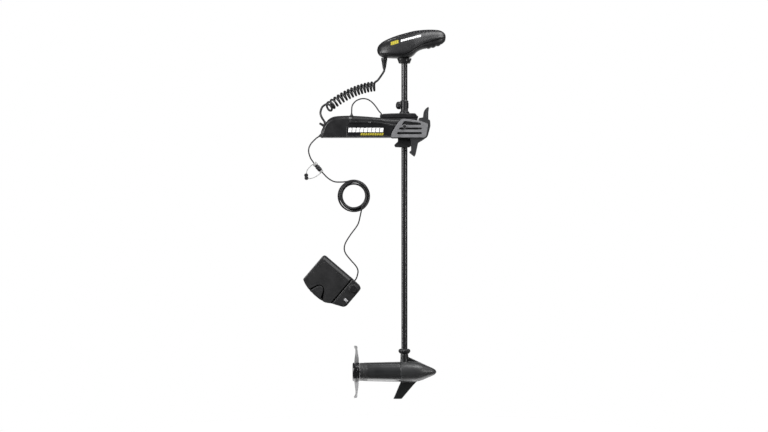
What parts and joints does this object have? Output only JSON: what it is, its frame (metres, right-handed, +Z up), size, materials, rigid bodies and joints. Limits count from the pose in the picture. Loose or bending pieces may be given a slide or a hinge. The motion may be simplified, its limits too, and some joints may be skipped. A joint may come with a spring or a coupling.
{
  "type": "bow-mount trolling motor",
  "caption": "Bow-mount electric trolling motor with a control head, coiled cord, tilting gearbox mount, long shaft, propeller motor and a corded foot pedal.",
  "frame": {"origin": "on the steering shaft's axis, in the plane of the deck face under the mount, with the motor deployed", "axes": "+X horizontal, out over the bow from the mount towards the shaft's side; +Y to port; +Z up along the shaft"},
  "size_m": [0.6252, 0.23, 1.632],
  "materials": {
    "black_plastic": "moulded plastic with a fine grain, satin",
    "charcoal_plastic": "glass-filled plastic, satin",
    "pedal_plastic": "glass-filled plastic with a coarse grain, matte",
    "grey_plastic": "glass-filled plastic, matte",
    "channel_paint": "powder coat, satin",
    "motor_paint": "baked enamel, semi-gloss",
    "nose_paint": "baked enamel, satin",
    "composite_shaft": "pultruded composite, semi-gloss",
    "prop_plastic": "moulded nylon, semi-gloss",
    "stainless": "stainless, turned",
    "zinc_steel": "zinc-plated",
    "aluminium_sleeve": "turned and anodised",
    "brass_pinion": "cut brass",
    "acetal": "natural acetal, satin",
    "circuit_board": "solder mask over glass fibre",
    "cord_rubber": "extruded jacket, satin",
    "clear_vinyl": "clear flexible vinyl",
    "seal_rubber": "nitrile, matte",
    "ferrite": "sintered magnet, ground",
    "copper": "enamelled copper on laminated iron",
    "light_plastic": "moulded plastic, satin"
  },
  "bodies": {
    "mount": {"base_channel": "channel_paint", "starboard_cover": "black_plastic", "port_cover": "black_plastic", "starboard_side_plate": "grey_plastic", "port_side_plate": "grey_plastic", "starboard_ramp": "charcoal_plastic", "port_ramp": "charcoal_plastic", "mount_screws": "stainless", "pivot_pin": "stainless", "control_board": "circuit_board", "cable_glands": "black_plastic", "pedal_cable": "cord_rubber", "cable_plugs": "cord_rubber", "cap_tethers": "clear_vinyl", "lead_loop": "cord_rubber", "coil_cord": "cord_rubber", "latch_spring": "zinc_steel", "pedal_base": "pedal_plastic", "pedal_board": "circuit_board", "pedal_sole": "cord_rubber", "pedal_pivot_pin": "stainless", "button_spring": "zinc_steel"},
    "release_lever": {"release_lever": "charcoal_plastic"},
    "latch_pin": {"latch_pin": "stainless"},
    "steering_housing": {"gearbox_case": "charcoal_plastic", "gearbox_cover": "black_plastic", "sleeve_bushings": "acetal", "steering_motor": "zinc_steel", "gearbox_screws": "stainless"},
    "motor_pinion": {"motor_pinion": "brass_pinion"},
    "sleeve": {"steering_gear": "acetal", "drive_sleeve": "aluminium_sleeve", "depth_collar": "black_plastic"},
    "collar_knob": {"collar_knob": "black_plastic"},
    "shaft": {"shaft_tube": "composite_shaft", "head_lower": "black_plastic", "head_upper": "black_plastic", "head_board": "circuit_board", "head_fasteners": "stainless", "head_clamp": "black_plastic", "strain_relief": "cord_rubber", "neck_nut": "black_plastic", "nose_housing": "nose_paint", "motor_tube": "motor_paint", "field_magnets": "ferrite", "end_cap": "nose_paint", "through_bolts": "stainless", "brush_carrier": "acetal", "motor_bearings": "stainless", "motor_seals": "seal_rubber"},
    "rotor": {"armature": "copper", "commutator": "copper", "output_shaft": "stainless", "propeller": "prop_plastic", "drive_pin": "stainless", "prop_nut": "stainless"},
    "foot_plate": {"foot_plate": "pedal_plastic"},
    "momentary_button": {"momentary_button": "pedal_plastic"},
    "speed_dial": {"speed_dial": "black_plastic"},
    "mode_switch": {"mode_switch": "light_plastic"}
  },
  "joints": [
    {"name": "stow", "type": "hinge", "parent": "mount", "child": "steering_housing", "pos_m": [-0.108, 0, 0.026], "axis": [0, -1, 0], "range_deg": [0, 90], "deforming": ["lead_loop", "coil_cord"]},
    {"name": "release_lever_turn", "type": "hinge", "parent": "mount", "child": "release_lever", "pos_m": [-0.338, 0, 0.042], "axis": [0, 1, 0], "range_deg": [-20, 0]},
    {"name": "latch_pin_slide", "type": "slide", "parent": "mount", "child": "latch_pin", "axis": [0, -1, 0], "range_m": [-0.008, 0], "deforming": ["latch_spring"]},
    {"name": "steer", "type": "hinge", "parent": "steering_housing", "child": "sleeve", "pos_m": [0, 0, 0.069], "axis": [0, 0, 1], "range_deg": [-180, 180], "deforming": ["coil_cord"]},
    {"name": "pinion_turn", "type": "hinge", "parent": "steering_housing", "child": "motor_pinion", "pos_m": [-0.0375, 0, 0.069], "axis": [0, 0, 1], "range_deg": [-463.5, 463.5]},
    {"name": "depth", "type": "slide", "parent": "sleeve", "child": "shaft", "axis": [0, 0, 1], "range_m": [-0.155, 0.78], "deforming": ["coil_cord"]},
    {"name": "collar_knob_turn", "type": "hinge", "parent": "sleeve", "child": "collar_knob", "pos_m": [-0.02, 0, 0.142], "axis": [-1, 0, 0], "range_deg": [0, 540]},
    {"name": "prop_spin", "type": "hinge", "parent": "shaft", "child": "rotor", "pos_m": [-0.2, 0, -1.035], "axis": [1, 0, 0], "continuous": true},
    {"name": "foot_plate_rock", "type": "hinge", "parent": "mount", "child": "foot_plate", "pos_m": [-0.34617, -0.13, -0.62419], "axis": [0.7604, 0, -0.6494], "range_deg": [-8, 8]},
    {"name": "button_press", "type": "slide", "parent": "mount", "child": "momentary_button", "axis": [0, 1, 0], "range_m": [0, 0.003], "stiffness_N_per_m": 400, "deforming": ["button_spring"]},
    {"name": "speed_dial_turn", "type": "hinge", "parent": "mount", "child": "speed_dial", "pos_m": [-0.2245, -0.144, -0.66497], "axis": [0, -1, 0], "range_deg": [-150, 150]},
    {"name": "mode_switch_slide", "type": "slide", "parent": "mount", "child": "mode_switch", "axis": [0.6494, 0, 0.7604], "range_m": [-0.0045, 0.0045]}
  ],
  "couplings": [
    {"joint": "pinion_turn", "follows": "steer", "ratio": -2.5714},
    {"joint": "latch_pin_slide", "follows": "release_lever_turn", "m_per_rad": 0.02291}
  ]
}
